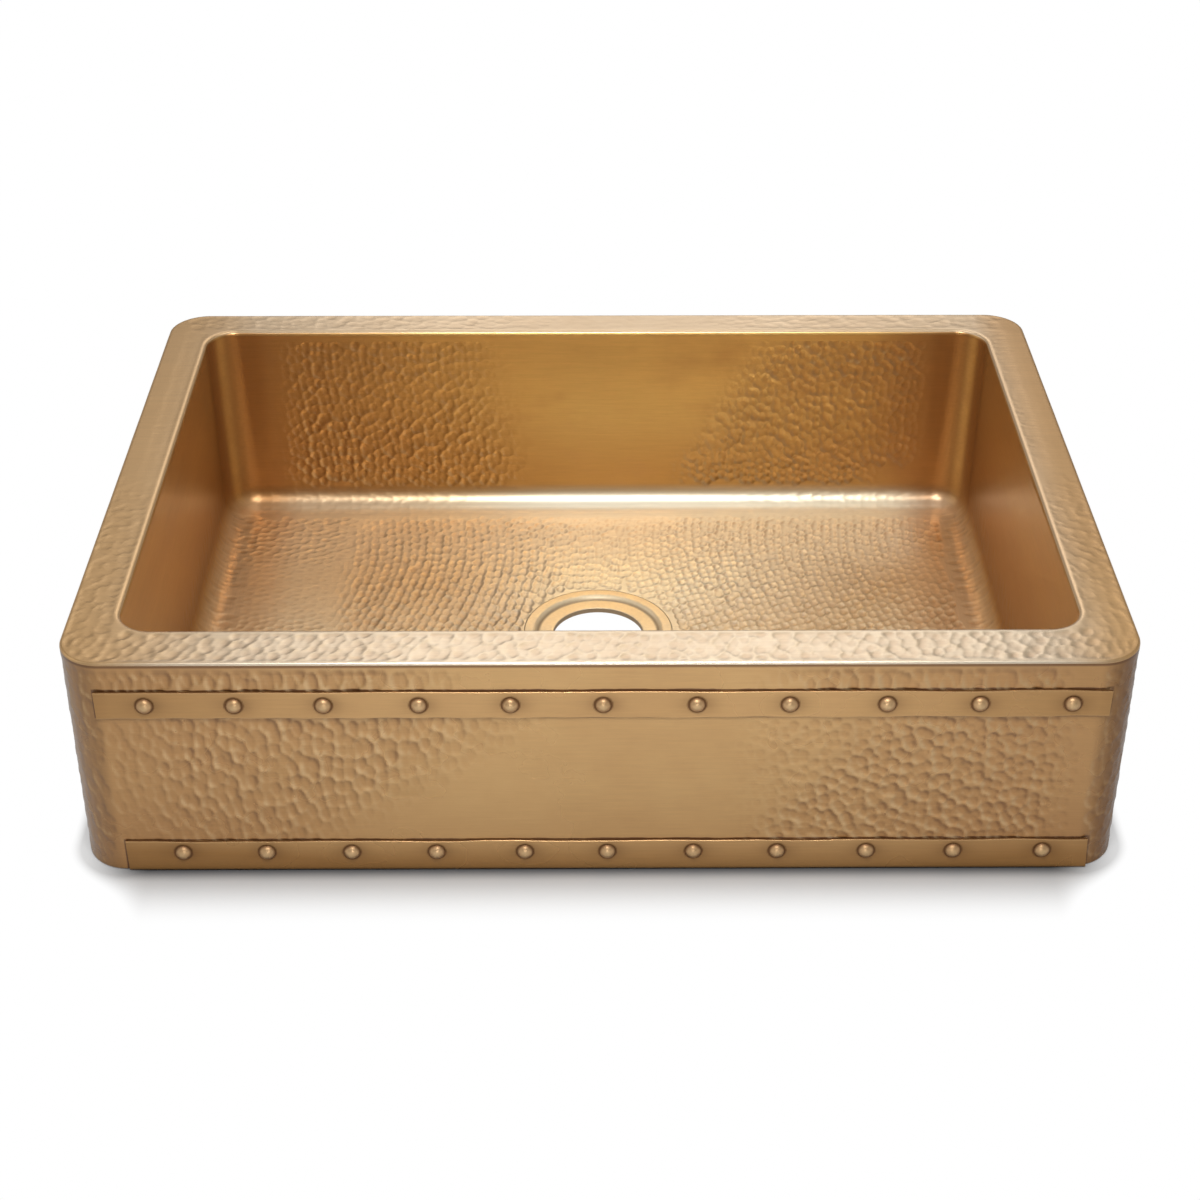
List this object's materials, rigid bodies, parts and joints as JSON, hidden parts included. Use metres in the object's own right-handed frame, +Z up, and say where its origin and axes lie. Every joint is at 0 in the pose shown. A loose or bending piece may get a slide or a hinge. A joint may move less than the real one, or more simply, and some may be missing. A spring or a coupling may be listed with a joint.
{
  "type": "farmhouse apron front sink",
  "caption": "Single-bowl farmhouse kitchen sink in hammered brass sheet, with a double wall, a broad flat rim and an apron crossed by two riveted straps.",
  "frame": {"origin": "middle of the footprint's bounding box, on the surface that the sink stands on", "axes": "+Z up out of the bowl, -Y out of the apron towards the user, +X to the user's right"},
  "size_m": [0.9144, 0.6756, 0.221],
  "materials": {
    "brass_hammered": "hand-hammered aged brass sheet, satin, with brushed patches",
    "brass_bowl": "hand-hammered aged brass sheet, semi-gloss",
    "brass_strap": "brushed aged brass strap with dark edges",
    "brass_rivet": "domed brass rivets with a dark ring of patina",
    "brass_drain": "spun brass, brushed in circles",
    "brass_frame": "plain mill brass bar, dull",
    "rubber_pad": "matt black sound deadening rubber"
  },
  "bodies": {
    "root": {"bowl": "brass_bowl", "drain_seat": "brass_drain", "drain_backing_ring": "brass_drain", "rim_deck": "brass_hammered", "apron_front": "brass_hammered", "left_side_panel": "brass_hammered", "right_side_panel": "brass_hammered", "back_panel": "brass_hammered", "upper_strap": "brass_strap", "lower_strap": "brass_strap", "upper_strap_rivets": "brass_rivet", "lower_strap_rivets": "brass_rivet", "upper_rivet_burrs": "brass_rivet", "lower_rivet_burrs": "brass_rivet", "front_rim_angle": "brass_frame", "back_rim_angle": "brass_frame", "left_rim_angle": "brass_frame", "right_rim_angle": "brass_frame", "front_left_gusset": "brass_frame", "front_right_gusset": "brass_frame", "back_left_gusset": "brass_frame", "back_right_gusset": "brass_frame", "front_base_rail": "brass_frame", "back_base_rail": "brass_frame", "front_base_stays": "brass_frame", "back_base_stays": "brass_frame", "left_floor_pad": "rubber_pad", "right_floor_pad": "rubber_pad", "front_wall_pad": "rubber_pad", "back_wall_pad": "rubber_pad", "left_wall_pad": "rubber_pad", "right_wall_pad": "rubber_pad"}
  },
  "joints": []
}
